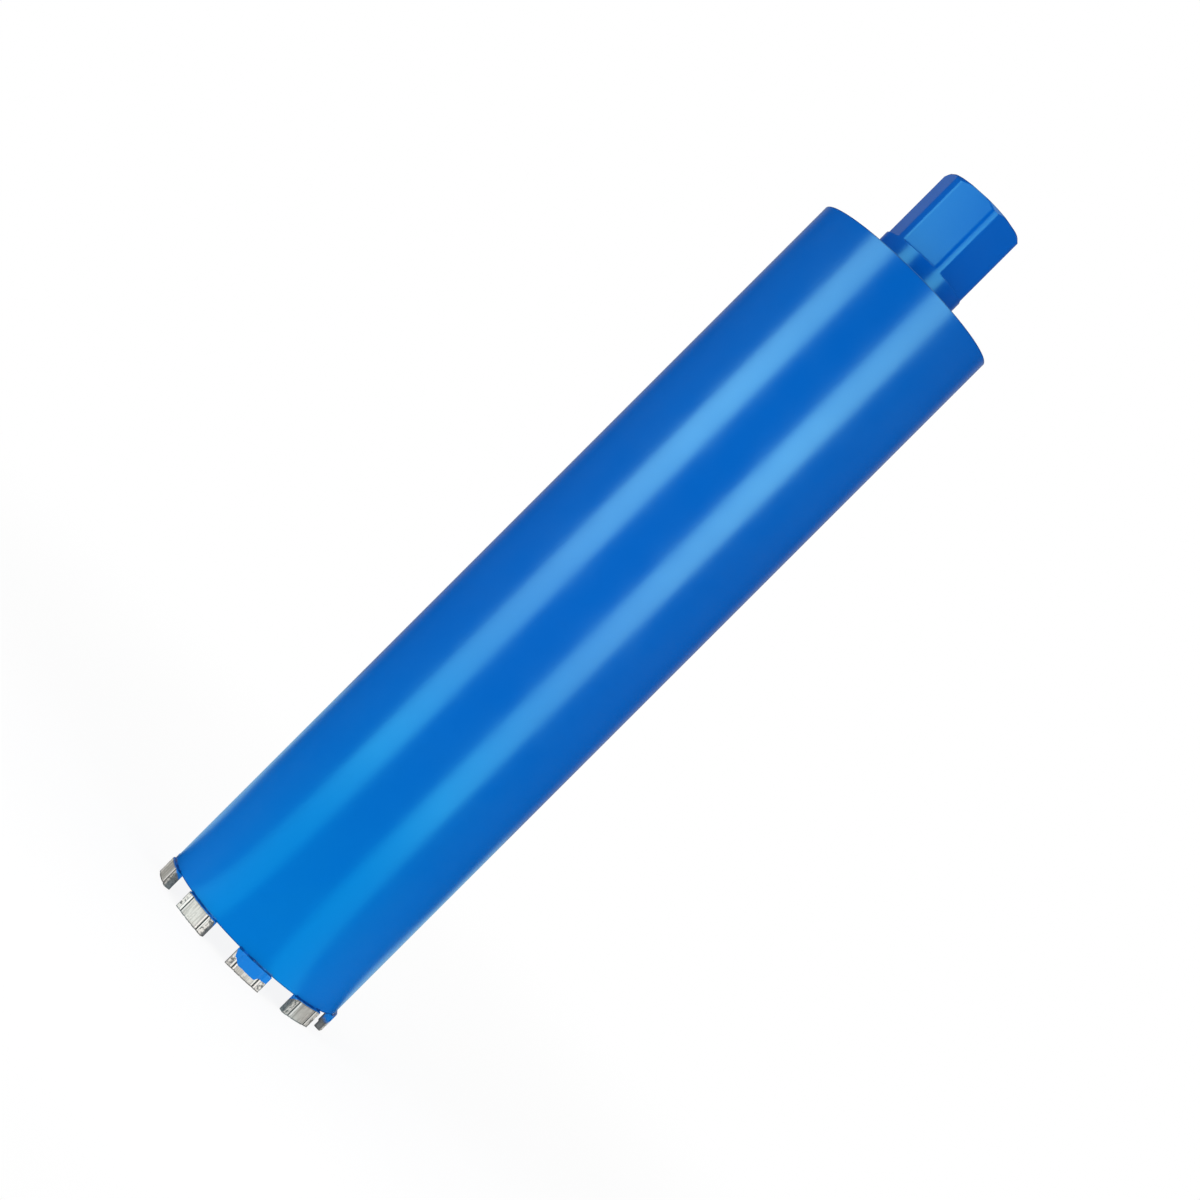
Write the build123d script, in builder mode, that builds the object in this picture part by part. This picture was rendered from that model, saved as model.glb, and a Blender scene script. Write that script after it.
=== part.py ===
from build123d import *
from math import cos, degrees, hypot, radians, sin
import os

# Wet diamond core bit, standing on its segments. Millimetres, +Z along the bit's axis
# towards the hub. The origin is on the axis, in the plane of the cutting faces.

# Width of the hole the bit cuts, and how far its segments stand out from the tube
bit_diameter = 112.0
segment_overhang = 1.5

# Steel tube
tube_wall = 2.0
tube_length = 450.0
tube_rim_chamfer = 0.3

# Diamond segments, spread evenly round the tube's front rim
segment_count = 9
segment_thickness = 3.8
segment_arc_length = 22.0
segment_height = 9.8
segment_corner_radius = 0.5

# V grooves that run the full height of each segment
outer_groove_width = 3.0
outer_groove_depth = 0.7
outer_groove_inset = 4.3
inner_groove_width = 2.4
inner_groove_depth = 0.75
groove_root_radius = 0.35

# Filler metal between each segment and the rim
braze_gap = 0.2
braze_outer_leg = 0.8
braze_inner_leg = 0.25

# Closing plate in the tube's rear end
plate_thickness = 10.0
plate_recess = 1.0
plate_weld_leg = 3.0

# Threaded hub
hub_diameter = 50.0
hub_across_flats = 45.0
hub_length = 55.7
hub_flat_count = 6
hub_flat_length = 42.0
hub_flat_root_radius = 0.8
hub_end_chamfer = 2.0
hub_turn = 14.0
hub_weld_leg = 4.0
spigot_diameter = 38.0
spigot_chamfer = 1.0

# Bore of the hub, sized for the crests of a 1 1/4 inch UNC thread
thread_crest_diameter = 28.2
thread_length = 40.0
thread_relief_diameter = 32.6
thread_relief_length = 5.0
thread_mouth_chamfer = 2.2
water_bore_diameter = 20.0

# Radii and heights that follow from the sizes above
segment_outer_radius = bit_diameter / 2
segment_inner_radius = segment_outer_radius - segment_thickness
tube_outer_radius = segment_outer_radius - segment_overhang
tube_inner_radius = tube_outer_radius - tube_wall
segment_pitch = 360 / segment_count
segment_angle = degrees(segment_arc_length / segment_outer_radius)
braze_angle = segment_angle - 2 * degrees(segment_corner_radius / segment_outer_radius)
tube_bottom = segment_height + braze_gap
tube_top = tube_bottom + tube_length
plate_top = tube_top - plate_recess
plate_bottom = plate_top - plate_thickness
hub_radius = hub_diameter / 2
hub_top = plate_top + hub_length
flats_bottom = hub_top - hub_flat_length
spigot_radius = spigot_diameter / 2
crest_radius = thread_crest_diameter / 2
relief_radius = thread_relief_diameter / 2
water_radius = water_bore_diameter / 2
thread_bottom = hub_top - thread_length
relief_bottom = thread_bottom - thread_relief_length


def radial_plane(angle):
    """The upright plane through the axis whose x direction points out at this angle."""
    outward = (cos(radians(angle)), sin(radians(angle)), 0)
    normal = (sin(radians(angle)), -cos(radians(angle)), 0)
    return Plane(origin=(0, 0, 0), x_dir=outward, z_dir=normal)


def make_tube():
    """Ring section with a square front rim and a rear rim broken by a small chamfer."""
    with BuildPart() as tube:
        with BuildSketch(Plane.XY.offset(tube_bottom)):
            Circle(tube_outer_radius)
            Circle(tube_inner_radius, mode=Mode.SUBTRACT)
        extrude(amount=tube_length)
        chamfer(tube.edges().group_by(Axis.Z)[-1], tube_rim_chamfer)
    return tube


def groove_points(radius, half_width, depth, outward):
    """Triangle with its tip at the groove's root and its base clear of the face at radius."""
    clear = depth
    spread = half_width * (depth + clear) / depth
    root = radius - outward * depth
    mouth = radius + outward * clear
    return [(root, 0), (mouth, spread), (mouth, -spread)]


def make_segment(turn):
    """Ring sector with two V grooves in its outer face and one in its inner face."""
    half_angle = segment_angle / 2
    groove_angle = half_angle - degrees(outer_groove_inset / segment_outer_radius)
    outer_root = segment_outer_radius - outer_groove_depth
    inner_root = segment_inner_radius + inner_groove_depth
    root_tolerance = groove_root_radius / 10
    with BuildPart() as segment:
        with BuildSketch(Plane.XY.rotated((0, 0, turn))) as profile:
            with BuildLine():
                outer = CenterArc((0, 0), segment_outer_radius, -half_angle, segment_angle)
                inner = CenterArc((0, 0), segment_inner_radius, -half_angle, segment_angle)
                Line(outer @ 0, inner @ 0)
                Line(outer @ 1, inner @ 1)
            make_face()
            fillet(profile.vertices(), segment_corner_radius)
            with PolarLocations(0, 2, -groove_angle, 2 * groove_angle, endpoint=True):
                Polygon(
                    groove_points(segment_outer_radius, outer_groove_width / 2, outer_groove_depth, 1),
                    align=None,
                    mode=Mode.SUBTRACT,
                )
            Polygon(
                groove_points(segment_inner_radius, inner_groove_width / 2, inner_groove_depth, -1),
                align=None,
                mode=Mode.SUBTRACT,
            )
            roots = profile.vertices().filter_by(
                lambda corner: min(
                    abs(hypot(corner.X, corner.Y) - outer_root),
                    abs(hypot(corner.X, corner.Y) - inner_root),
                )
                < root_tolerance
            )
            fillet(roots, groove_root_radius)
        extrude(amount=segment_height)
    return segment


def make_braze_joint(turn):
    """Thin layer under one segment, with a small fillet up each side of the tube's wall."""
    outer_foot = tube_outer_radius + braze_outer_leg
    inner_foot = tube_inner_radius - braze_inner_leg
    outer_head = tube_bottom + braze_outer_leg
    inner_head = tube_bottom + braze_inner_leg
    with BuildPart() as joint:
        with BuildSketch(radial_plane(turn - braze_angle / 2)):
            Polygon(
                (inner_foot, segment_height),
                (outer_foot, segment_height),
                (tube_outer_radius, outer_head),
                (tube_outer_radius, tube_bottom),
                (tube_inner_radius, tube_bottom),
                (tube_inner_radius, inner_head),
                align=None,
            )
        revolve(axis=Axis.Z, revolution_arc=braze_angle)
    return joint


def make_closing_plate():
    """Disc with a bore for the hub's spigot and a bevel for the weld round its rear edge."""
    with BuildPart() as plate:
        with BuildSketch(Plane.XY.offset(plate_bottom)):
            Circle(tube_inner_radius)
            Circle(spigot_radius, mode=Mode.SUBTRACT)
        extrude(amount=plate_thickness)
        rear_rim = plate.edges().group_by(Axis.Z)[-1].sort_by(SortBy.RADIUS)[-1]
        chamfer(rear_rim, plate_weld_leg)
    return plate


def make_plate_weld():
    """Ring of weld that fills the bevel between the closing plate and the tube's wall."""
    root = (tube_inner_radius, plate_top - plate_weld_leg)
    toe = (tube_inner_radius - plate_weld_leg, plate_top)
    head = (tube_inner_radius, tube_top - tube_rim_chamfer)
    with BuildPart() as weld:
        with BuildSketch(radial_plane(0)):
            Polygon(root, toe, head, align=None)
        revolve(axis=Axis.Z)
    return weld


def make_flat_cutter():
    """Ring round the hub's hexagon, with the rounded edge that the milling cutter leaves."""
    corner_turn = hub_turn + 180 / hub_flat_count
    radius_clear_of_bar = 2 * hub_radius
    with BuildPart() as cutter:
        with BuildSketch(Plane.XY.offset(flats_bottom).rotated((0, 0, corner_turn))):
            Circle(radius_clear_of_bar)
            RegularPolygon(
                hub_across_flats / 2, hub_flat_count, major_radius=False, mode=Mode.SUBTRACT
            )
        extrude(amount=hub_flat_length)
        foot_edges = cutter.edges().group_by(Axis.Z)[0].filter_by(GeomType.LINE)
        fillet(foot_edges, hub_flat_root_radius)
    return cutter


def make_hub():
    """Turned bar with a spigot below, six milled flats above and a stepped bore right through."""
    flat_cutter = make_flat_cutter()
    with BuildPart() as hub:
        with BuildSketch(Plane.XY.offset(plate_bottom)):
            Circle(spigot_radius)
        extrude(amount=plate_thickness)
        chamfer(hub.edges().group_by(Axis.Z)[0], spigot_chamfer)
        with BuildSketch(Plane.XY.offset(plate_top)):
            Circle(hub_radius)
        extrude(amount=hub_length)
        chamfer(hub.edges().group_by(Axis.Z)[-1], hub_end_chamfer)
        add(flat_cutter.part, mode=Mode.SUBTRACT)
        with BuildSketch(radial_plane(0)):
            with BuildLine():
                Polyline(
                    (0, plate_bottom),
                    (water_radius, plate_bottom),
                    (water_radius, relief_bottom),
                    (relief_radius, relief_bottom),
                    (relief_radius, thread_bottom),
                    (crest_radius, thread_bottom),
                    (crest_radius, hub_top - thread_mouth_chamfer),
                    (crest_radius + thread_mouth_chamfer, hub_top),
                    (0, hub_top),
                    close=True,
                )
            make_face()
        revolve(axis=Axis.Z, mode=Mode.SUBTRACT)
    return hub


def make_hub_weld():
    """Ring of weld in the corner between the hub's neck and the closing plate."""
    root = (hub_radius, plate_top)
    toe = (hub_radius + hub_weld_leg, plate_top)
    head = (hub_radius, plate_top + hub_weld_leg)
    with BuildPart() as weld:
        with BuildSketch(radial_plane(0)):
            Polygon(root, toe, head, align=None)
        revolve(axis=Axis.Z)
    return weld


os.makedirs("parts", exist_ok=True)

tube = make_tube()
tube.part.label = "tube"
export_step(tube.part, "parts/tube.step")

closing_plate = make_closing_plate()
closing_plate.part.label = "closing_plate"
export_step(closing_plate.part, "parts/closing_plate.step")

plate_weld = make_plate_weld()
plate_weld.part.label = "plate_weld"
export_step(plate_weld.part, "parts/plate_weld.step")

hub = make_hub()
hub.part.label = "hub"
export_step(hub.part, "parts/hub.step")

hub_weld = make_hub_weld()
hub_weld.part.label = "hub_weld"
export_step(hub_weld.part, "parts/hub_weld.step")

for number in range(1, segment_count + 1):
    turn = (number - 1) * segment_pitch

    segment = make_segment(turn)
    segment.part.label = f"segment_{number}"
    export_step(segment.part, f"parts/segment_{number}.step")

    braze_joint = make_braze_joint(turn)
    braze_joint.part.label = f"braze_joint_{number}"
    export_step(braze_joint.part, f"parts/braze_joint_{number}.step")
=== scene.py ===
from math import ceil, cos, exp, hypot, pi, radians, sin, sqrt, tau
from random import Random

import bmesh
import bpy
from mathutils import Matrix, Vector, noise


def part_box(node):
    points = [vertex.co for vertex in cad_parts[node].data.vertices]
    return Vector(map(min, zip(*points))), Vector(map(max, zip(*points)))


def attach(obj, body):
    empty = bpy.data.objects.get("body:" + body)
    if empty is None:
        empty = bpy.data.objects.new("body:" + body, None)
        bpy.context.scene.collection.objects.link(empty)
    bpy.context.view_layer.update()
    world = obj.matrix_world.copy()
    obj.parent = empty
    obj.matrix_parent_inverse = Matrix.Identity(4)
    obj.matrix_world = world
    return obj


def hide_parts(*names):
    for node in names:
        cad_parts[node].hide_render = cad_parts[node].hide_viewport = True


# The looks of a wet diamond core bit that stands on its segments. Shapes are worked out in
# millimetres and turned into metres when a piece is finished.

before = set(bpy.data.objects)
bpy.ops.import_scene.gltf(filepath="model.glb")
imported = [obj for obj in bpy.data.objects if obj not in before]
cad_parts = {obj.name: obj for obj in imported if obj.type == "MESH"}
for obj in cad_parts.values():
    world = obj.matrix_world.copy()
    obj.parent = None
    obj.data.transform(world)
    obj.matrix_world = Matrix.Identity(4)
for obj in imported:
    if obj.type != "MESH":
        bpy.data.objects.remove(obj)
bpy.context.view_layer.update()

MM = 0.001
MERGE_DISTANCE = 0.0005

# Tube
TUBE_COLUMNS = 360
TUBE_RIM_CHAMFER = 0.3
TUBE_EDGE_ROUNDING = 0.12

# Hub
HUB_COLUMNS = 900
THREAD_COLUMNS = 360
HUB_RADIUS = 25.0
FLAT_DISTANCE = 22.5
FLAT_COUNT = 6
FLAT_LENGTH = 42.0
FLAT_ROOT_RADIUS = 0.8
HUB_TURN = radians(14.0)
HUB_END_CHAMFER = 2.0
HUB_EDGE_ROUNDING = 0.45
NECK_ROW_SHARES = (3, 1.5, 0.5)
HUB_RIM_ROUNDING = 0.1
HUB_RIM_ROUNDING_HEIGHT = 0.06
FLAT_ROOT_ROWS = 6
END_CHAMFER_ROWS = 14
ROW_CLEARANCE = 0.4
SPIGOT_RADIUS = 19.0
SPIGOT_CHAMFER = 1.0

# Bore of the hub, with a 1 1/4 inch UNC thread
CREST_RADIUS = 14.1
ROOT_RADIUS = 15.88
THREAD_PITCH = 25.4 / 7
CREST_WIDTH = THREAD_PITCH / 4
ROOT_WIDTH = THREAD_PITCH / 8
FLANK_STEPS = 3
THREAD_LENGTH = 40.0
THREAD_MOUTH_CHAMFER = 2.2
RELIEF_RADIUS = 16.3
RELIEF_LENGTH = 5.0
WATER_RADIUS = 10.0

# Weld beads, with ripples that bow and wander, and a slower wave under them
HUB_WELD_LEG = 4.0
PLATE_WELD_LEG = 3.0
HUB_WELD_RIPPLES = 110
PLATE_WELD_RIPPLES = 170
COLUMNS_PER_RIPPLE = 8
BEAD_STEPS = 10
WELD_CROWN = 0.35
WELD_RIPPLE_DEPTH = 0.16
WELD_RIPPLE_BOW = 0.75
WELD_RIPPLE_WANDER = 0.25
BEAD_NOISE_SCALE = 9
BEAD_NOISE_ACROSS = 0.2
BEAD_WAVE_SCALE = 0.7
BEAD_WAVE_DEPTH = 0.12
BEAD_WAVE_MIDDLE = 0.4

# Segments
SEGMENT_COUNT = 9
SEGMENT_PITCH = tau / SEGMENT_COUNT
OUTER_RADIUS = 56.0
INNER_RADIUS = 52.2
SEGMENT_ARC_LENGTH = 22.0
CORNER_RADIUS = 0.5
SEGMENT_EDGE_ROUNDING = 0.14
OUTER_GROOVE_INSET = 4.3
OUTER_GROOVE_WIDTH = 3.0
OUTER_GROOVE_DEPTH = 0.7
INNER_GROOVE_WIDTH = 2.4
INNER_GROOVE_DEPTH = 0.75
SEGMENT_THICKNESS = OUTER_RADIUS - INNER_RADIUS
OUTER_ROOT_FILL = 0.1
INNER_ROOT_FILL = 0.12
GROOVE_ROOT_WIDTH = 0.12
# Width of the painted shade along the segments' edges
EDGE_SHADE_WIDTH = 1.0

# Spacing of a segment's mesh, and the places of its points close to an edge
SEGMENT_STEP = 0.2
STEP_ACROSS = SEGMENT_STEP * 1.4
STEP_UP = SEGMENT_STEP * 1.2
EDGE_ACROSS = 0.3
EDGE_PLACES = (0, 0.12, 0.4, 1)

# Sintered grain and its depth on each kind of face, with the ribs between the grooves
GRAIN_SCALE = 1.9
FINE_GRAIN_SCALE = 4.3
FINE_GRAIN_SHARE = 0.4
GRAIN_APART = 31.7
GRAIN = {
    "groove": 0.03,
    "panel": 0.04,
    "outer": 0.17,
    "inner": 0.03,
    "end": 0.14,
    "low": 0.1,
    "high": 0.02,
}
PANEL_RIBS = 0.06
RIB_PATTERN = (2.3, 5.0, 0.12)

# Worm-like crevices, deep in the worn cutting face and slight in the ends
WORM_SCALE = Vector((0.9, 1.3, 0.9))
WORM_OFFSET = Vector((0, 9, 0))
WORM_WIDTH = 0.16
WORMS = {"low": 0.32, "end": 0.05}

# Nicks round the cutting face and up the ends, as balls with their centres just off the edges. At
# the ends they lie between a height and a share of the segment's.
RIM_CHIPS = 9
RIM_CHIP_SIZES = (0.3, 0.8)
RIM_CHIP_OFFSET = 0.1
OUTSIDE_CHIP_SHARE = 0.7
END_CHIPS = 3
END_CHIP_SIZES = (0.35, 0.75)
END_CHIP_OFFSET = 0.05
END_CHIP_HEIGHTS = (0.5, 0.7)

# Filler metal under each segment
BRAZE_OUTER_LEG = 0.8
BRAZE_INNER_LEG = 0.25
BRAZE_COLUMNS = 72
BRAZE_STEPS = 6
BRAZE_NOISE_SCALE = 24
BRAZE_APART = 3.3
BRAZE_LEAST = 0.6
BRAZE_OUTER_WAVE = 0.5
BRAZE_INNER_WAVE = 0.6
BRAZE_INNER_MIDDLE = (0.5, 0.3)
BRAZE_HOLLOW = 0.92
BRAZE_LUMP = 0.45
BRAZE_LUMP_START = 0.86


def box_mm(node):
    """Lowest and highest corner of a node, in millimetres."""
    low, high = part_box(node)
    return low / MM, high / MM


tube_low, tube_high = box_mm("tube")
plate_low, plate_high = box_mm("closing_plate")
hub_high = box_mm("hub")[1]
segment_high = box_mm("segment_1")[1]

TUBE_RADIUS = tube_high.x
TUBE_BOTTOM = tube_low.z
TUBE_TOP = tube_high.z
TUBE_BORE_RADIUS = plate_high.x
PLATE_BOTTOM = plate_low.z
PLATE_TOP = plate_high.z
HUB_TOP = hub_high.z
FLATS_BOTTOM = HUB_TOP - FLAT_LENGTH
THREAD_BOTTOM = HUB_TOP - THREAD_LENGTH
MOUTH_BOTTOM = HUB_TOP - THREAD_MOUTH_CHAMFER
RELIEF_BOTTOM = THREAD_BOTTOM - RELIEF_LENGTH
SEGMENT_HEIGHT = segment_high.z
HALF_ARC = SEGMENT_ARC_LENGTH / 2


def turned(radius, angle, height):
    """Point at a distance from the axis, turned about it."""
    return radius * cos(angle), radius * sin(angle), height


def add_object(name, data):
    """A new object in the scene."""
    made = bpy.data.objects.new(name, data)
    bpy.context.scene.collection.objects.link(made)
    return made


def finish_piece(name, bm, node, material, sharp_angle=35.0):
    """Makes an object of a mesh in millimetres. It stands for a node and rides on the frame."""
    bmesh.ops.remove_doubles(bm, verts=bm.verts, dist=MERGE_DISTANCE)
    bmesh.ops.recalc_face_normals(bm, faces=bm.faces)
    bmesh.ops.scale(bm, vec=(MM, MM, MM), verts=bm.verts)
    mesh = bpy.data.meshes.new(name)
    bm.to_mesh(mesh)
    bm.free()
    mesh.polygons.foreach_set("use_smooth", [True] * len(mesh.polygons))
    mesh.set_sharp_from_angle(angle=radians(sharp_angle))
    mesh.materials.append(material)
    piece = add_object(name, mesh)
    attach(piece, "root")
    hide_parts(node)


def round_corners(outline, rounding, steps=4):
    """Closed outline with each corner replaced by a short curve."""
    rounded = []
    count = len(outline)
    for index, corner in enumerate(outline):
        before = outline[index - 1]
        after = outline[(index + 1) % count]
        for step in range(steps + 1):
            share = step / steps
            ends = []
            for other in (before, after):
                length = hypot(other[0] - corner[0], other[1] - corner[1])
                reach = min(rounding, length / 3) / length
                ends.append([c + (o - c) * reach for c, o in zip(corner, other)])
            rounded.append(
                tuple(
                    (1 - share) ** 2 * a + 2 * share * (1 - share) * c + share**2 * b
                    for a, c, b in zip(ends[0], corner, ends[1])
                )
            )
    return rounded


def lathe(bm, profile, columns, shift=None):
    """Turns a closed profile of radius and height about the axis."""
    rings = []
    for column in range(columns):
        angle = tau * column / columns
        ring = []
        for index, (radius, height) in enumerate(profile):
            if shift:
                radius, height = shift(angle, index, radius, height)
            ring.append(bm.verts.new(turned(radius, angle, height)))
        rings.append(ring)
    for column, ring in enumerate(rings):
        following = rings[(column + 1) % columns]
        for index in range(len(profile)):
            after = index - 1
            bm.faces.new((ring[index], following[index], following[after], ring[after]))


def add_ring(bm, height, radius_at, columns=HUB_COLUMNS):
    """One ring of points, with its radius as a function of the angle."""
    ring = []
    for column in range(columns):
        angle = tau * column / columns
        ring.append(bm.verts.new(turned(radius_at(angle), angle, height)))
    return ring


def join_rings(bm, rings):
    """Quads from each ring to the next. All have the same number of points."""
    for lower, upper in zip(rings, rings[1:]):
        for index in range(len(lower)):
            bm.faces.new((lower[index - 1], lower[index], upper[index], upper[index - 1]))


def make_tube(material):
    """The long tube, with a small chamfer at the rear."""
    outline = [
        (TUBE_BORE_RADIUS, TUBE_BOTTOM),
        (TUBE_RADIUS, TUBE_BOTTOM),
        (TUBE_RADIUS, TUBE_TOP - TUBE_RIM_CHAMFER),
        (TUBE_RADIUS - TUBE_RIM_CHAMFER, TUBE_TOP),
        (TUBE_BORE_RADIUS + TUBE_RIM_CHAMFER, TUBE_TOP),
        (TUBE_BORE_RADIUS, TUBE_TOP - TUBE_RIM_CHAMFER),
    ]
    bm = bmesh.new()
    lathe(bm, round_corners(outline, TUBE_EDGE_ROUNDING), TUBE_COLUMNS)
    finish_piece("tube_shell", bm, "tube", material)


def make_closing_plate(material):
    """The disc in the tube's rear end, bevelled for its weld."""
    outline = [
        (SPIGOT_RADIUS, PLATE_BOTTOM),
        (TUBE_BORE_RADIUS, PLATE_BOTTOM),
        (TUBE_BORE_RADIUS, PLATE_TOP - PLATE_WELD_LEG),
        (TUBE_BORE_RADIUS - PLATE_WELD_LEG, PLATE_TOP),
        (SPIGOT_RADIUS, PLATE_TOP),
    ]
    bm = bmesh.new()
    lathe(bm, round_corners(outline, TUBE_EDGE_ROUNDING), TUBE_COLUMNS)
    finish_piece("plate_disc", bm, "closing_plate", material)


def bead_surface(start, end, steps):
    """Points of a weld's crowned face from one toe to the other, with their place across it."""
    span = (end[0] - start[0], end[1] - start[1])
    length = hypot(*span)
    outward = (-span[1] / length, span[0] / length)
    points = []
    for step in range(steps + 1):
        across = step / steps
        crown = WELD_CROWN * 4 * across * (1 - across)
        radius, height = (s + d * across + o * crown for s, d, o in zip(start, span, outward))
        points.append((radius, height, across))
    return points, outward


def noise_share(place):
    """Smooth noise that swings round one half."""
    return 0.5 + 0.5 * noise.noise(place)


def make_bead(node, corners, ripples, material):
    """Ring of weld with crescent ripples, from its root, its first toe and its second."""
    root, start, end = corners
    surface, outward = bead_surface(start, end, BEAD_STEPS)
    profile = [(radius, height) for radius, height, _ in surface] + [root]

    def ripple(angle, index, radius, height):
        if index >= len(surface):
            return radius, height
        across = surface[index][2]
        bow = 4 * across * (1 - across)
        place = Vector((cos(angle), sin(angle), across * BEAD_NOISE_ACROSS)) * BEAD_NOISE_SCALE
        phase = angle * ripples / tau + WELD_RIPPLE_BOW * bow
        phase += WELD_RIPPLE_WANDER * noise.noise(place)
        depth = WELD_RIPPLE_DEPTH * bow * (1 - (phase % 1) ** 2)
        wave = noise.noise(place * BEAD_WAVE_SCALE) + BEAD_WAVE_MIDDLE
        depth += BEAD_WAVE_DEPTH * bow * wave
        return radius - outward[0] * depth, height - outward[1] * depth

    bm = bmesh.new()
    lathe(bm, profile, ripples * COLUMNS_PER_RIPPLE, ripple)
    finish_piece(f"{node}_bead", bm, node, material, sharp_angle=60.0)


def soft_min(first, second, rounding):
    """The lesser of two lengths, blended where they are nearly the same."""
    overlap = max(rounding - abs(first - second), 0) / rounding
    return min(first, second) - overlap * overlap * rounding / 4


def hub_outline(angle, height):
    """Radius of the hub where it is milled, with its end chamfer and its flats."""
    radius = HUB_RADIUS - max(height - (HUB_TOP - HUB_END_CHAMFER), 0)
    pitch = tau / FLAT_COUNT
    from_flat = (angle - HUB_TURN + pitch / 2) % pitch - pitch / 2
    below_root = max(FLAT_ROOT_RADIUS - (height - FLATS_BOTTOM), 0)
    root_rise = FLAT_ROOT_RADIUS - sqrt(max(FLAT_ROOT_RADIUS**2 - below_root**2, 0))
    flat_radius = (FLAT_DISTANCE + root_rise) / cos(from_flat)
    return soft_min(radius, flat_radius, HUB_EDGE_ROUNDING)


def hub_flat_rows():
    """Heights above the foot of the flats, close together at their root and at the chamfer."""
    chamfer_start = FLAT_LENGTH - HUB_END_CHAMFER
    turns = [pi / 2 * step / FLAT_ROOT_ROWS for step in range(FLAT_ROOT_ROWS + 1)]
    root = [FLAT_ROOT_RADIUS * (1 - cos(turn)) for turn in turns]
    plain = [FLAT_ROOT_RADIUS + ROW_CLEARANCE, chamfer_start - ROW_CLEARANCE]
    plain.append(chamfer_start - HUB_RIM_ROUNDING)
    shares = [step / END_CHAMFER_ROWS for step in range(END_CHAMFER_ROWS)]
    chamfer = [FLAT_LENGTH - HUB_END_CHAMFER * (1 - share) for share in shares]
    return root + plain + chamfer + [FLAT_LENGTH - HUB_RIM_ROUNDING_HEIGHT]


def add_hub_outside(bm):
    """Spigot, neck, flats, end chamfer and end face. Returns the first and last ring."""
    plain_rows = [
        (PLATE_BOTTOM, SPIGOT_RADIUS - SPIGOT_CHAMFER),
        (PLATE_BOTTOM + SPIGOT_CHAMFER, SPIGOT_RADIUS),
        (PLATE_TOP, SPIGOT_RADIUS),
        (PLATE_TOP, HUB_RADIUS),
    ]
    for share in NECK_ROW_SHARES:
        plain_rows.append((FLATS_BOTTOM - share * HUB_EDGE_ROUNDING, HUB_RADIUS))
    rings = [add_ring(bm, height, lambda angle, r=radius: r) for height, radius in plain_rows]
    lip = HUB_RADIUS - HUB_EDGE_ROUNDING / 2
    rings.append(
        add_ring(bm, FLATS_BOTTOM, lambda angle: max(lip, hub_outline(angle, FLATS_BOTTOM)))
    )
    for row in hub_flat_rows():
        height = FLATS_BOTTOM + row
        rings.append(add_ring(bm, height, lambda angle, h=height: hub_outline(angle, h)))
    rings.append(
        add_ring(bm, HUB_TOP, lambda angle: hub_outline(angle, HUB_TOP) - HUB_RIM_ROUNDING)
    )
    join_rings(bm, rings)
    return rings[0], rings[-1]


def thread_profile():
    """One pitch of the bore's thread as offsets along the axis and radii."""
    flank = (THREAD_PITCH - CREST_WIDTH - ROOT_WIDTH) / 2
    depth = ROOT_RADIUS - CREST_RADIUS
    root_start = CREST_WIDTH + flank
    root_end = root_start + ROOT_WIDTH
    shares = [step / FLANK_STEPS for step in range(FLANK_STEPS)]
    rows = [(0, CREST_RADIUS), (CREST_WIDTH / 2, CREST_RADIUS)]
    for share in shares:
        rows.append((CREST_WIDTH + flank * share, CREST_RADIUS + depth * share))
    rows.append((root_start, ROOT_RADIUS))
    for share in shares:
        rows.append((root_end + flank * share, ROOT_RADIUS - depth * share))
    return rows


def thread_radius(angle, height):
    """Radius of the threaded bore at one place."""
    rows = thread_profile() + [(THREAD_PITCH, CREST_RADIUS)]
    offset = (height - THREAD_BOTTOM - THREAD_PITCH * angle / tau) % THREAD_PITCH
    for (low, low_radius), (high, high_radius) in zip(rows, rows[1:]):
        if offset <= high:
            return low_radius + (high_radius - low_radius) * (offset - low) / (high - low)
    return CREST_RADIUS


def thread_strips(bm, rows):
    """The thread's profile at each step of the helix, cut by the mouth's chamfer."""
    turns = ceil(THREAD_LENGTH / THREAD_PITCH) + 1
    strips = []
    for step in range((turns + 1) * THREAD_COLUMNS + 1):
        angle = tau * step / THREAD_COLUMNS
        foot = THREAD_BOTTOM - THREAD_PITCH + THREAD_PITCH * step / THREAD_COLUMNS
        strip = []
        for offset, radius in rows:
            height = foot + offset
            radius = max(radius, CREST_RADIUS + height - MOUTH_BOTTOM)
            strip.append(bm.verts.new(turned(radius, angle, height)))
        strips.append(strip)
    return strips


def add_thread(bm):
    """The helix of the bore, cut off at the relief below and at the hub's end."""
    rows = thread_profile()
    strips = thread_strips(bm, rows)
    for step, (here, following) in enumerate(zip(strips, strips[1:])):
        for index in range(len(rows) - 1):
            bm.faces.new((here[index], following[index], following[index + 1], here[index + 1]))
        one_turn_on = step + THREAD_COLUMNS
        if one_turn_on + 1 < len(strips):
            above, above_following = strips[one_turn_on : one_turn_on + 2]
            bm.faces.new((here[-1], following[-1], above_following[0], above[0]))
    for height, upward in ((THREAD_BOTTOM, -1), (HUB_TOP, 1)):
        bmesh.ops.bisect_plane(
            bm,
            geom=bm.verts[:] + bm.edges[:] + bm.faces[:],
            plane_co=(0, 0, height),
            plane_no=(0, 0, upward),
            clear_outer=True,
        )


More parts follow.
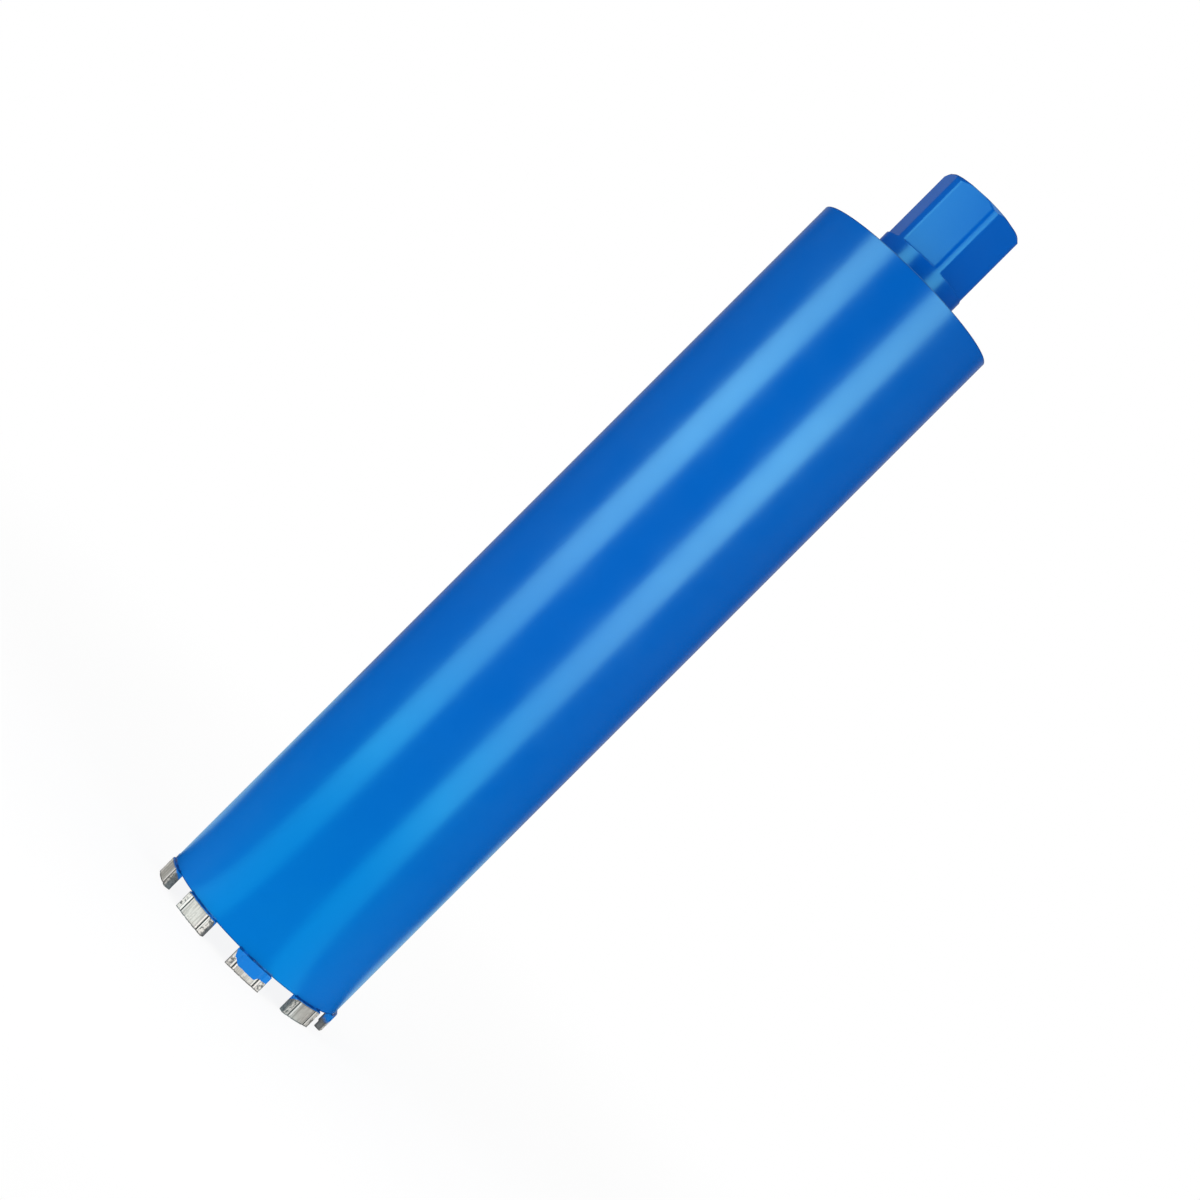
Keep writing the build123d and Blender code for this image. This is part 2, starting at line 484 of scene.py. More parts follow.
def make_hub(material):
    """Turned and milled hub with its threaded bore."""
    bm = bmesh.new()
    add_thread(bm)
    bottom, top = add_hub_outside(bm)
    mouth = add_ring(bm, HUB_TOP, lambda angle: CREST_RADIUS + THREAD_MOUTH_CHAMFER)
    join_rings(bm, [top, mouth])
    inside = [
        add_ring(bm, THREAD_BOTTOM, lambda angle: thread_radius(angle, THREAD_BOTTOM)),
        add_ring(bm, THREAD_BOTTOM, lambda angle: RELIEF_RADIUS),
        add_ring(bm, RELIEF_BOTTOM, lambda angle: RELIEF_RADIUS),
        add_ring(bm, RELIEF_BOTTOM, lambda angle: WATER_RADIUS),
        add_ring(bm, PLATE_BOTTOM, lambda angle: WATER_RADIUS),
        bottom,
    ]
    join_rings(bm, inside[::-1])
    finish_piece("hub_body", bm, "hub", material, sharp_angle=28.0)


def edge_setback(distance, rounding):
    """How far a rounded edge lies behind the sharp one at this distance from its end."""
    if distance >= rounding:
        return 0.0
    return rounding - sqrt(rounding**2 - (rounding - distance) ** 2)


def groove_depth(offset, width, depth):
    """Depth of a V groove with a rounded root at this distance from its middle."""
    share = max(1 - abs(offset) / (width / 2), 0)
    filled = INNER_ROOT_FILL * exp(-((offset / (GROOVE_ROOT_WIDTH * width)) ** 2))
    return depth * (share - filled)


def spaced(length, step, edge):
    """Places from 0 to length, close together at both ends."""
    ends = [edge * share for share in EDGE_PLACES]
    count = max(int((length - 2 * edge) / step), 1)
    middle = [edge + (length - 2 * edge) * index / count for index in range(1, count)]
    return ends + middle + [length - place for place in reversed(ends)]


# Depth of paint on a segment's outer face, as places along the arc from -1 to 1 and shares of
# its height, then the depth on the inner face and how softly the spray ends in millimetres.
OVERSPRAY = {
    1: (((-1, 0.46), (1, 0.40)), 0.36, 3.5),
    2: (((-1, 0.10), (0, 0.16), (1, 0.10)), 0.34, 0.5),
    3: (((-1, 0.34), (-0.6, 0.62), (0.1, 0.70), (0.5, 0.45), (1, 0.30)), 0.40, 0.15),
    4: (((-1, 0.08), (1, 0.12)), 0.32, 0.5),
    5: (((-1, 0.22), (0, 0.08), (1, 0.10)), 0.36, 0.6),
    6: (((-1, 0.02), (0.6, 0.03), (1, 0.10)), 0.30, 1.4),
    7: (((-1, 0.02), (1, 0.03)), 0.34, 0.3),
    8: (((-1, 0.10), (-0.8, 0.44), (-0.5, 0.64), (0.42, 0.66), (0.58, 0.46), (1, 0.42)), 0.4, 0.12),
    9: (((-1, 0.08), (-0.85, 0.02), (0.85, 0.03), (1, 0.10)), 0.32, 0.3),
}

# Waves in that paint's edge: scales along, across and by segment, then least depth, growth, most
PAINT_WAVE_SCALES = (0.55, 2, 7.1)
PAINT_WAVE_DEPTHS = (0.12, 0.04, 0.3)

# Painted shade: how bright the bare metal is on segments that are darkened as if less light fell on
# them
SEGMENT_SHADE_TONES = {1: 0.85, 2: 0.9, 4: 0.86, 6: 0.72, 9: 0.74}


def paint_depth(number, along):
    """Share of the outer face's height that is painted at this place along the arc."""
    knots = OVERSPRAY[number][0]
    for (low, low_depth), (high, high_depth) in zip(knots, knots[1:]):
        if along <= high:
            share = (along - low) / (high - low)
            eased = share * share * (3 - 2 * share)
            return low_depth + (high_depth - low_depth) * eased
    return knots[-1][1]


def paint_reach(number, along, across):
    """How far a segment is painted from its brazed end, in millimetres, with a wavy edge."""
    inner_depth = OVERSPRAY[number][1] * SEGMENT_HEIGHT
    outer_depth = paint_depth(number, along / HALF_ARC) * SEGMENT_HEIGHT
    depth = inner_depth * (1 - across) + outer_depth * across
    scale_along, scale_across, apart = PAINT_WAVE_SCALES
    wave = noise.noise(Vector((along * scale_along, across * scale_across, number * apart)))
    least, growth, most = PAINT_WAVE_DEPTHS
    return depth + wave * min(least + growth * depth, most)


def segment_chips(number):
    """Nicks in the edges as balls: place along, radius, height and size."""
    dice = Random(number)
    chips = []
    for _ in range(RIM_CHIPS):
        outside = dice.random() < OUTSIDE_CHIP_SHARE
        radius = INNER_RADIUS - RIM_CHIP_OFFSET
        if outside:
            radius = OUTER_RADIUS + RIM_CHIP_OFFSET
        along = dice.uniform(-HALF_ARC, HALF_ARC)
        chips.append((along, radius, -RIM_CHIP_OFFSET, dice.uniform(*RIM_CHIP_SIZES)))
    lowest, highest_share = END_CHIP_HEIGHTS
    for side in (-1, 1):
        for _ in range(END_CHIPS):
            height = dice.uniform(lowest, SEGMENT_HEIGHT * highest_share)
            edge = side * (HALF_ARC + END_CHIP_OFFSET)
            chips.append((edge, OUTER_RADIUS, height, dice.uniform(*END_CHIP_SIZES)))
    return chips


def chip_away(place, chips):
    """Moves a point out of each ball that it lies in."""
    for chip in chips:
        centre = Vector(chip[:3])
        offset = place - centre
        if 0 < offset.length < chip[3]:
            place = centre + offset * (chip[3] / offset.length)
    return place


def surface_roughness(place, seed):
    """Sintered grain, and the worm-like crevices of a worn cutting face, both from 0 to 1."""
    lookup = Vector(place) + Vector((GRAIN_APART * seed, 0, 0))
    fine = noise_share(lookup * FINE_GRAIN_SCALE)
    grain = (1 - FINE_GRAIN_SHARE) * noise_share(lookup * GRAIN_SCALE) + FINE_GRAIN_SHARE * fine
    worm = abs(noise.noise(lookup * WORM_SCALE + WORM_OFFSET))
    return grain, max(1 - worm / WORM_WIDTH, 0)


def groove_share(along):
    """0 on the flat stretches of a segment's outer face, rising to 1 at a groove's root."""
    from_root = abs(abs(along) - (HALF_ARC - OUTER_GROOVE_INSET))
    return max(1 - from_root / (OUTER_GROOVE_WIDTH / 2), 0)


def in_panel(along):
    """Whether this place along the arc lies between the outer face's grooves."""
    return abs(along) < HALF_ARC - OUTER_GROOVE_INSET - OUTER_GROOVE_WIDTH / 2


def outer_relief(number, along, height, grain):
    """How deep the outer face lies under its plain arc: ribs, grooves and sintered grain."""
    share = groove_share(along)
    if share > 0:
        filled = OUTER_ROOT_FILL * exp(-(((1 - share) / GROOVE_ROOT_WIDTH) ** 2))
        return OUTER_GROOVE_DEPTH * (share - filled) + GRAIN["groove"] * grain
    if in_panel(along):
        scale_along, apart, scale_up = RIB_PATTERN
        rib = noise_share(Vector((along * scale_along, number * apart, height * scale_up)))
        return PANEL_RIBS * rib + GRAIN["panel"] * grain
    return GRAIN["outer"] * grain


def segment_point(number, along, across, height, sides, chips):
    """Place of one surface point: along the arc, from the axis, and up."""
    from_end = HALF_ARC - abs(along)
    from_rim = min(height, SEGMENT_HEIGHT - height)
    rim_setback = edge_setback(from_rim, SEGMENT_EDGE_ROUNDING)
    setback = edge_setback(from_end, CORNER_RADIUS) + rim_setback
    inner = INNER_RADIUS + setback
    inner += groove_depth(along, INNER_GROOVE_WIDTH, INNER_GROOVE_DEPTH)
    outer = OUTER_RADIUS - setback
    grain, worm = surface_roughness((along, outer if across > 0.5 else inner, height), number)
    outer -= outer_relief(number, along, height, grain if sides["outer"] else 0)
    if sides["inner"]:
        inner += GRAIN["inner"] * grain
    radius = inner + (outer - inner) * across
    along *= 1 - rim_setback / HALF_ARC
    if sides["end"]:
        along -= (GRAIN["end"] * grain + WORMS["end"] * worm) * (1 if along > 0 else -1)
    if sides["low"]:
        height += GRAIN["low"] * grain + WORMS["low"] * worm
    if sides["high"]:
        height -= GRAIN["high"] * grain
    return chip_away(Vector((along, radius, height)), chips)


def sides_of(spot, last):
    """Which faces of a segment a grid point lies on."""
    i, j, k = spot
    return {
        "outer": j == last[1],
        "inner": j == 0,
        "end": i in (0, last[0]),
        "low": k == 0,
        "high": k == last[2],
    }


def face_kind(along, sides):
    """Kind of face at a point, for the material: panel, inner face, groove and end."""
    return (
        float(sides["outer"] and in_panel(along)),
        float(sides["inner"]),
        groove_share(along) if sides["outer"] else 0.0,
        float(sides["end"] and not sides["outer"]),
    )


def edge_shade(along, across, height):
    """1 on a segment's edges, where the metal is darkened as painted shade, and 0 away from them.
    """
    places = (
        HALF_ARC - abs(along),
        SEGMENT_THICKNESS * min(across, 1 - across),
        min(height, SEGMENT_HEIGHT - height),
    )
    second = sorted(places)[1]
    return max(1 - second / EDGE_SHADE_WIDTH, 0)


def shell_quads(last):
    """Grid points at the corners of each quad on the outside of a segment."""
    for i in range(last[0]):
        for k in range(last[2]):
            for j in (0, last[1]):
                yield (i, j, k), (i + 1, j, k), (i + 1, j, k + 1), (i, j, k + 1)
        for j in range(last[1]):
            for k in (0, last[2]):
                yield (i, j, k), (i + 1, j, k), (i + 1, j + 1, k), (i, j + 1, k)
    for j in range(last[1]):
        for k in range(last[2]):
            for i in (0, last[0]):
                yield (i, j, k), (i, j + 1, k), (i, j + 1, k + 1), (i, j, k + 1)


def segment_grid():
    """Places along, across and up a segment, closer together near its edges."""
    alongs = spaced(SEGMENT_ARC_LENGTH, SEGMENT_STEP, CORNER_RADIUS)
    acrosses = spaced(SEGMENT_THICKNESS, STEP_ACROSS, EDGE_ACROSS)
    return (
        [place - HALF_ARC for place in alongs],
        [place / SEGMENT_THICKNESS for place in acrosses],
        spaced(SEGMENT_HEIGHT, STEP_UP, SEGMENT_EDGE_ROUNDING),
    )


def make_segment(number, material):
    """One sintered segment: grooved, rough where it was pressed and cut, partly painted."""
    turn = (number - 1) * SEGMENT_PITCH
    chips = segment_chips(number)
    grid = segment_grid()
    last = [len(places) - 1 for places in grid]
    softness = OVERSPRAY[number][2]
    bm = bmesh.new()
    paint_layer = bm.verts.layers.float.new("paint_edge")
    kind_layer = bm.verts.layers.float_color.new("face_kind")
    # Painted shade along the edges
    edge_shade_layer = bm.verts.layers.float.new("edge_shade")
    # Painted shade on whole segments
    shade_tone_layer = bm.verts.layers.float.new("metal_shade_tone")

    def add_point(spot):
        sides = sides_of(spot, last)
        along, across, height = (places[index] for places, index in zip(grid, spot))
        place = segment_point(number, along, across, height, sides, chips)
        angle = turn + place.x / OUTER_RADIUS
        vert = bm.verts.new(turned(place.y, angle, place.z))
        paint_end = SEGMENT_HEIGHT - paint_reach(number, along, across)
        vert[paint_layer] = (place.z - paint_end) / softness
        vert[kind_layer] = face_kind(along, sides)
        vert[edge_shade_layer] = edge_shade(along, across, height)
        vert[shade_tone_layer] = SEGMENT_SHADE_TONES.get(number, 1.0)
        return vert

    points = {}
    for corners in shell_quads(last):
        for spot in corners:
            if spot not in points:
                points[spot] = add_point(spot)
        bm.faces.new([points[spot] for spot in corners])
    node = f"segment_{number}"
    finish_piece(f"{node}_sintered", bm, node, material, sharp_angle=50.0)


def braze_section(angle, end_share, number):
    """Outline of the filler metal at one angle, uneven along the joint."""
    lookup = Vector((cos(angle), sin(angle), 0)) * BRAZE_NOISE_SCALE
    wave = noise_share(lookup + Vector((0, 0, number * BRAZE_APART)))
    lump = BRAZE_LUMP * max(end_share - BRAZE_LUMP_START, 0) / (1 - BRAZE_LUMP_START)
    outer_leg = BRAZE_OUTER_LEG * (BRAZE_LEAST + BRAZE_OUTER_WAVE * wave + lump)
    inner_leg = BRAZE_INNER_LEG * (BRAZE_LEAST + BRAZE_INNER_WAVE * wave + lump)
    middle_out, middle_up = BRAZE_INNER_MIDDLE
    outline = [
        (TUBE_BORE_RADIUS - inner_leg, SEGMENT_HEIGHT),
        (TUBE_RADIUS + outer_leg, SEGMENT_HEIGHT),
    ]
    for step in range(BRAZE_STEPS + 1):
        share = step / BRAZE_STEPS
        swing = pi / 2 * share
        out = 1 - BRAZE_HOLLOW * sin(swing) - (1 - BRAZE_HOLLOW) * share
        up = 1 - BRAZE_HOLLOW * cos(swing) - (1 - BRAZE_HOLLOW) * (1 - share)
        outline.append((TUBE_RADIUS + outer_leg * out, TUBE_BOTTOM + outer_leg * up))
    outline += [
        (TUBE_RADIUS, TUBE_BOTTOM),
        (TUBE_BORE_RADIUS, TUBE_BOTTOM),
        (TUBE_BORE_RADIUS, TUBE_BOTTOM + inner_leg),
        (TUBE_BORE_RADIUS - inner_leg * middle_out, TUBE_BOTTOM + inner_leg * middle_up),
    ]
    return outline


def make_braze_joint(number, material):
    """The filler metal under one segment, with small lumps at its ends."""
    turn = (number - 1) * SEGMENT_PITCH
    half_angle = (HALF_ARC - CORNER_RADIUS) / OUTER_RADIUS
    bm = bmesh.new()
    rings = []
    for column in range(BRAZE_COLUMNS + 1):
        share = 2 * column / BRAZE_COLUMNS - 1
        angle = turn + half_angle * share
        section = braze_section(angle, abs(share), number)
        rings.append([bm.verts.new(turned(radius, angle, z)) for radius, z in section])
    join_rings(bm, rings)
    for ring in (rings[0], rings[-1]):
        bm.faces.new(ring)
    node = f"braze_joint_{number}"
    finish_piece(f"{node}_fillet", bm, node, material)


class NodeTree:
    """A node tree under construction."""

    def __init__(self, owner):
        owner.use_nodes = True
        self.tree = owner.node_tree

    def add(self, kind, inputs=None, **settings):
        """A node with its settings, and with numbers or links on its inputs."""
        node = self.tree.nodes.new(kind)
        for key, value in settings.items():
            setattr(node, key, value)
        for key, value in (inputs or {}).items():
            self.put(node.inputs[key], value)
        return node

    def put(self, socket, value):
        """Sets a socket to a number or a colour, or links it."""
        if isinstance(value, bpy.types.NodeSocket):
            self.tree.links.new(value, socket)
        else:
            socket.default_value = value

    def math(self, operation, first, second):
        """One step of arithmetic on two numbers."""
        return self.add("ShaderNodeMath", {0: first, 1: second}, operation=operation).outputs[0]

    def ramp(self, value, ends, levels=(0.0, 1.0)):
        """Value turned smoothly from the first level to the second between the ends."""
        inputs = {"Value": value, "From Min": ends[0], "From Max": ends[1]}
        inputs.update({"To Min": levels[0], "To Max": levels[1]})
        return self.add("ShaderNodeMapRange", inputs, interpolation_type="SMOOTHSTEP").outputs[0]

    def between(self, share, first, second):
        """Number between two."""
        return self.add("ShaderNodeMix", {0: share, 2: first, 3: second}).outputs[0]

    def mix(self, share, first, second, blend="MIX"):
        """Colour between two."""
        inputs = {0: share, 6: first, 7: second}
        return self.add("ShaderNodeMix", inputs, data_type="RGBA", blend_type=blend).outputs[2]


class Finish(NodeTree):
    """A surface material under construction, in the frame's metres."""

    def __init__(self, name):
        self.material = bpy.data.materials.new(name)
        super().__init__(self.material)
        self.shader = self.tree.nodes["Principled BSDF"]
        self.place = self.add("ShaderNodeTexCoord").outputs["Object"]

    def noise(self, scale, detail, stretch=(1, 1, 1)):
        """Noise with a scale in features to a metre."""
        mapped = self.add("ShaderNodeMapping", {"Vector": self.place, "Scale": stretch})
        inputs = {"Vector": mapped.outputs[0], "Scale": scale, "Detail": detail}
        return self.add("ShaderNodeTexNoise", inputs).outputs["Fac"]

    def patches(self, scale, detail, ends, levels=(0.0, 1.0), stretch=(1, 1, 1)):
        """Noise turned smoothly from the first level to the second between the ends."""
        return self.ramp(self.noise(scale, detail, stretch), ends, levels)

    def attribute(self, name):
        """A value that the mesh carries, as the outputs of its node."""
        return self.add("ShaderNodeAttribute", attribute_name=name).outputs

    def unsteady(self, edge, scale, swing):
        """A value that noise moves up and down."""
        move = self.math("MULTIPLY", self.math("SUBTRACT", self.noise(scale, 3), 0.5), swing)
        return self.math("ADD", edge, move)

    def bump(self, height, strength, distance, below=None):
        """Small relief in the surface, on top of the one below."""
        inputs = {"Height": height, "Strength": strength, "Distance": distance}
        if below is not None:
            inputs["Normal"] = below
        return self.add("ShaderNodeBump", inputs).outputs[0]

    def surface(self, **values):
        """Sets the shader's sockets, named with underscores for spaces."""
        for key, value in values.items():
            self.put(self.shader.inputs[key.replace("_", " ")], value)
        return self.material


# Paint, with painted light that makes it lighter and greener towards the front, and which reflects
# less red there. Patterns are a scale, a detail, the ends of a ramp and its levels, and reliefs a
# strength and a depth. The roughness stays under 0.27, because the denoiser draws contour lines on
# rougher paint.
PAINT_COLOUR = (0.0, 0.095, 0.44, 1)
PAINT_LIGHT = (0.0, 0.105, 0.468, 1)
# Painted light: the lighter, greener paint at the front, and the heights over which it fades in
PAINT_FRONT_LIT = (0.0, 0.116, 0.45, 1)
PAINT_FRONT_LIT_FADE = (0.24, 0.0)
PAINT_TINT = (0.32, 0.92, 1.0, 1)
PAINT_TINT_FRONT = (0.03, 0.92, 1.0, 1)
PAINT_TINT_FADE = (0.26, 0.05)
PAINT_ROUGHNESS = (60, 1, (0.0, 1.0), (0.2, 0.27))
PAINT_CLOUDS = (14, 2, (0.0, 1.0))
PEEL_SCALE = 300
PEEL_RELIEF = (0.03, 0.0001)
# Painted shade: the dark colour along the rims of the tube and the hub's end
RIM_SHADE = (0.0, 0.035, 0.2, 1)
RIM_SHADE_WIDTH = 0.0009
TUBE_RIM_SHADE = 0.9
HUB_RIM_SHADE = 0.8

# Paint of the hub, and the arcs that the milling cutter left about a point below the flats
HUB_PAINT_COLOUR = (0.0, 0.1, 0.49, 1)
HUB_PAINT_LIGHT = (0.0, 0.11, 0.52, 1)
HUB_PAINT_TINT = (0.2, 0.87, 1.0, 1)
MILLING_CENTRE_BELOW = 12.0
MILLING_CENTRE = (0.0, 0.0, (FLATS_BOTTOM - MILLING_CENTRE_BELOW) * MM)
MILLING_SCALE = 700
MILLING_RELIEF = (0.12, 0.0001)

# Bare steel in the hub's bore, as far out as the uneven edge of the paint
STEEL_COLOURS = ((0.2, 0.21, 0.22, 1), (0.32, 0.33, 0.35, 1))
STEEL_SCALE = 700
STEEL_ROUGHER = 0.12
BARE_RADII = (0.0163, 0.0169)
BARE_EDGE = (260, 0.002)

# Paint over the weld beads
WELD_ROUGHER = 0.1
SPATTER = (420, 3, (0.6, 0.75))
SPATTER_RELIEF = (0.4, 0.0003)


def paint_base(finish, dark=PAINT_COLOUR, light=PAINT_LIGHT):
    """Colour, roughness and relief that all the painted surfaces share."""
    colour = finish.mix(finish.patches(*PAINT_CLOUDS), dark, light)
    peel = finish.bump(finish.noise(PEEL_SCALE, 1), *PEEL_RELIEF)
    return colour, finish.patches(*PAINT_ROUGHNESS), peel


def rim_shade(finish, height, rim, inward, most):
    """Share of painted shade along a rim. Inward is 1 for a rim below the paint and -1 for one
    above.
    """
    rim *= MM
    return finish.ramp(height, (rim + inward * RIM_SHADE_WIDTH, rim), (0.0, most))


def tube_paint():
    """Smooth sprayed paint with a trace of orange peel, painted shade along both rims and painted
    light towards the front.
    """
    finish = Finish("blue_paint_on_tube")
    colour, roughness, relief = paint_base(finish)
    height = finish.add("ShaderNodeSeparateXYZ", {0: finish.place}).outputs[2]
    # Painted light: the paint turns lighter and greener towards the front.
    colour = finish.mix(finish.ramp(height, PAINT_FRONT_LIT_FADE), colour, PAINT_FRONT_LIT)
    tint = finish.mix(finish.ramp(height, PAINT_TINT_FADE), PAINT_TINT, PAINT_TINT_FRONT)
    # Painted shade along both rims of the tube.
    front_rim_shade = rim_shade(finish, height, TUBE_BOTTOM, 1, TUBE_RIM_SHADE)
    rear_rim_shade = rim_shade(finish, height, TUBE_TOP, -1, TUBE_RIM_SHADE)
    return finish.surface(
        Base_Color=finish.mix(finish.math("MAXIMUM", front_rim_shade, rear_rim_shade), colour, RIM_SHADE),
        Roughness=roughness,
        Normal=relief,
        Specular_IOR_Level=1.0,
        Specular_Tint=tint,
    )


def bare_share(finish, x, y):
    """Share of bare steel: all of the hub's bore as far out as the paint reached in."""
    squares = finish.math("ADD", finish.math("MULTIPLY", x, x), finish.math("MULTIPLY", y, y))
    radius = finish.math("POWER", squares, 0.5)
    return finish.ramp(finish.unsteady(radius, *BARE_EDGE), BARE_RADII, (1.0, 0.0))


def hub_paint():
    """Paint over turned and milled steel, with bare thread and relief inside the bore."""
    finish = Finish("blue_paint_on_hub")
    colour, roughness, relief = paint_base(finish, HUB_PAINT_COLOUR, HUB_PAINT_LIGHT)
    inputs = {0: finish.place, 1: MILLING_CENTRE}
    reach = finish.add("ShaderNodeVectorMath", inputs, operation="DISTANCE").outputs["Value"]
    line = finish.add("ShaderNodeCombineXYZ", {0: reach}).outputs[0]
    inputs = {"Vector": line, "Scale": MILLING_SCALE, "Detail": 2.0}
    arcs = finish.add("ShaderNodeTexNoise", inputs).outputs["Fac"]
    x, y, height = finish.add("ShaderNodeSeparateXYZ", {0: finish.place}).outputs
    # Painted shade along the rim of the hub's end.
    end = rim_shade(finish, height, HUB_TOP, -1, HUB_RIM_SHADE)
    colour = finish.mix(end, colour, RIM_SHADE)
    bare = bare_share(finish, x, y)
    steel = finish.mix(finish.noise(STEEL_SCALE, 4), *STEEL_COLOURS)
    return finish.surface(
        Base_Color=finish.mix(bare, colour, steel),
        Roughness=finish.math("ADD", roughness, finish.math("MULTIPLY", bare, STEEL_ROUGHER)),
        Metallic=bare,
        Normal=finish.bump(arcs, *MILLING_RELIEF, relief),
        Specular_IOR_Level=0.85,
        Specular_Tint=HUB_PAINT_TINT,
    )


def weld_paint():
    """Thick paint over a rippled bead, with a little spatter."""
    finish = Finish("blue_paint_on_weld")
    colour, roughness, relief = paint_base(finish)
    return finish.surface(
        Base_Color=colour,
        Roughness=finish.math("ADD", roughness, WELD_ROUGHER),
        Normal=finish.bump(finish.patches(*SPATTER), *SPATTER_RELIEF, relief),
        Specular_IOR_Level=1.0,
        Specular_Tint=PAINT_TINT,
    )


# Sintered metal by kind of face, with the bands of its grooves from mouth to root, which are
# painted light and shade: a grey line at the mouth, a painted highlight on the flanks and painted
# shade in the root
BLOTCH_COLOURS = ((0.16, 0.155, 0.145, 1), (0.67, 0.635, 0.585, 1))
PANEL_COLOURS = ((0.455, 0.435, 0.395, 1), (0.61, 0.585, 0.535, 1))
RIB_DARK = (0.39, 0.37, 0.335, 1)
INNER_COLOURS = ((0.085, 0.085, 0.09, 1), (0.13, 0.13, 0.135, 1))
END_COLOURS = ((0.05, 0.05, 0.05, 1), (0.17, 0.17, 0.165, 1))
# Painted shade: the dark colour along the segments' edges
EDGE_SHADE_COLOUR = (0.1, 0.1, 0.1, 1)
METAL_TINT = (0.55, 0.93, 1.0, 1)
GROOVE_LIGHT_AND_SHADE_BANDS = (
    ((0.02, 0.06), (0.3, 0.3, 0.3, 1)),
    ((0.12, 0.22), (0.79, 0.755, 0.705, 1)),
    ((0.62, 0.8), (0.045, 0.045, 0.042, 1)),
)
# Where the painted shade along the edges starts and ends, and its strongest share
EDGE_SHADE_ENDS = (0.15, 0.6)
EDGE_SHADE_MOST = 0.8

# Fine and coarse grit, and the speckle and blotches made of them
GRIT_SCALE = 1500
COARSE_GRIT_SCALE = 620
SPECKLE_COARSENESS = 0.4
SPECKLE_EDGES = (0.38, 0.5)
BLOTCH_COARSENESS = 0.7
BLOTCH_EDGES = (0.4, 0.52)
RIBS = (1100, 2, (0.35, 0.6), (0.0, 1.0), (1, 1, 0.06))
METAL_GRIT = (0.3, 0.7)
METAL_ROUGHNESS = (0.34, 0.5)
SINTERED_METALLIC = 0.25
GROOVE_RELIEF_ENDS = (0.0, 0.1)
LEAST_COARSENESS = 0.25
PIT_RELIEF = (0.6, 0.0002)

# Paint that reached the segments
PAINT_ON_METAL = (0.0, 0.15, 0.5, 1)
PAINT_ON_METAL_SHARE = 0.8
OVERSPRAY_EDGES = (-0.4, 0.4)
FRAY = (900, 0.9)


def face_kinds(finish):
    """Share of each kind of face at a point, as the segments' meshes carry it."""
    kinds = finish.attribute("face_kind")
    panel, inner, groove = finish.add("ShaderNodeSeparateColor", {0: kinds["Color"]}).outputs
    return {"panel": panel, "inner": inner, "groove": groove, "end": kinds["Alpha"]}


def bare_metal(finish, kinds, speckle, blotches):
    """Colour of the sintered metal by kind of face, with painted shade on some segments and along
    the edges.
    """
    panel_metal = finish.mix(speckle, *PANEL_COLOURS)
    panel_metal = finish.mix(finish.patches(*RIBS), RIB_DARK, panel_metal)
    metal = finish.mix(blotches, *BLOTCH_COLOURS)
    metal = finish.mix(kinds["panel"], metal, panel_metal)
    # Painted highlight on the groove flanks and painted shade in their roots.
    for ends, colour in GROOVE_LIGHT_AND_SHADE_BANDS:
        metal = finish.mix(finish.ramp(kinds["groove"], ends), metal, colour)
    # Painted shade: some whole segments are darker, as if less light fell on them.
    metal = finish.mix(1.0, metal, finish.attribute("metal_shade_tone")["Fac"], blend="MULTIPLY")
    metal = finish.mix(kinds["inner"], metal, finish.mix(speckle, *INNER_COLOURS))
    metal = finish.mix(kinds["end"], metal, finish.mix(speckle, *END_COLOURS))
    # Painted shade: a dark line along every edge of a segment.
    edge_shade_share = finish.ramp(finish.attribute("edge_shade")["Fac"], EDGE_SHADE_ENDS, (0.0, EDGE_SHADE_MOST))
    return finish.mix(edge_shade_share, metal, EDGE_SHADE_COLOUR)


def sintered_metal():
    """Speckled sintered metal by kind of face, with its overspray."""
    finish = Finish("sintered_metal")
    kinds = face_kinds(finish)
    grit = finish.noise(GRIT_SCALE, 4)
    coarse = finish.noise(COARSE_GRIT_SCALE, 3)
    speckle = finish.ramp(finish.between(SPECKLE_COARSENESS, grit, coarse), SPECKLE_EDGES)
    blotches = finish.ramp(finish.between(BLOTCH_COARSENESS, grit, coarse), BLOTCH_EDGES)
    metal = bare_metal(finish, kinds, speckle, blotches)
    edge = finish.unsteady(finish.attribute("paint_edge")["Fac"], *FRAY)
    painted = finish.ramp(edge, OVERSPRAY_EDGES)
    bare = finish.math("SUBTRACT", 1.0, painted)
    colour, roughness, relief = paint_base(finish)
    metal_roughness = finish.ramp(grit, METAL_GRIT, METAL_ROUGHNESS)
    off_panel = finish.math("SUBTRACT", 1.0, kinds["panel"])
    off_groove = finish.ramp(kinds["groove"], GROOVE_RELIEF_ENDS, (1.0, 0.0))
    coarseness = finish.math("MULTIPLY", off_panel, off_groove)
    coarseness = finish.math("MULTIPLY", finish.math("ADD", coarseness, LEAST_COARSENESS), bare)
    pits = finish.math("MULTIPLY", speckle, coarseness)
    overspray = finish.mix(PAINT_ON_METAL_SHARE, colour, PAINT_ON_METAL)
    return finish.surface(
        Base_Color=finish.mix(painted, metal, overspray),
        Roughness=finish.between(painted, metal_roughness, roughness),
        Metallic=finish.math("MULTIPLY", bare, SINTERED_METALLIC),
        Normal=finish.bump(pits, *PIT_RELIEF, relief),
        Specular_IOR_Level=0.5,
        Specular_Tint=METAL_TINT,
    )


# Filler metal: paint darkened in patches, partly a dark seam and partly painted shade in the joint,
# and spots of bare silver
BRAZE_SHADE_PAINT = (0.0, 0.042, 0.22, 1)
BRAZE_SHADE_PATCHES = (300, 2, (0.45, 0.75))
SILVER_COLOURS = ((0.11, 0.105, 0.09, 1), (0.42, 0.4, 0.36, 1))
BRAZE_SPOTS = (340, 3, (0.68, 0.75))
SILVER_SCALE = 800
SILVER_ROUGHER = 0.1
SILVER_METALLIC = 0.8
BRAZE_GRAIN_SCALE = 500
BRAZE_GRAIN_RELIEF = (0.4, 0.0002)


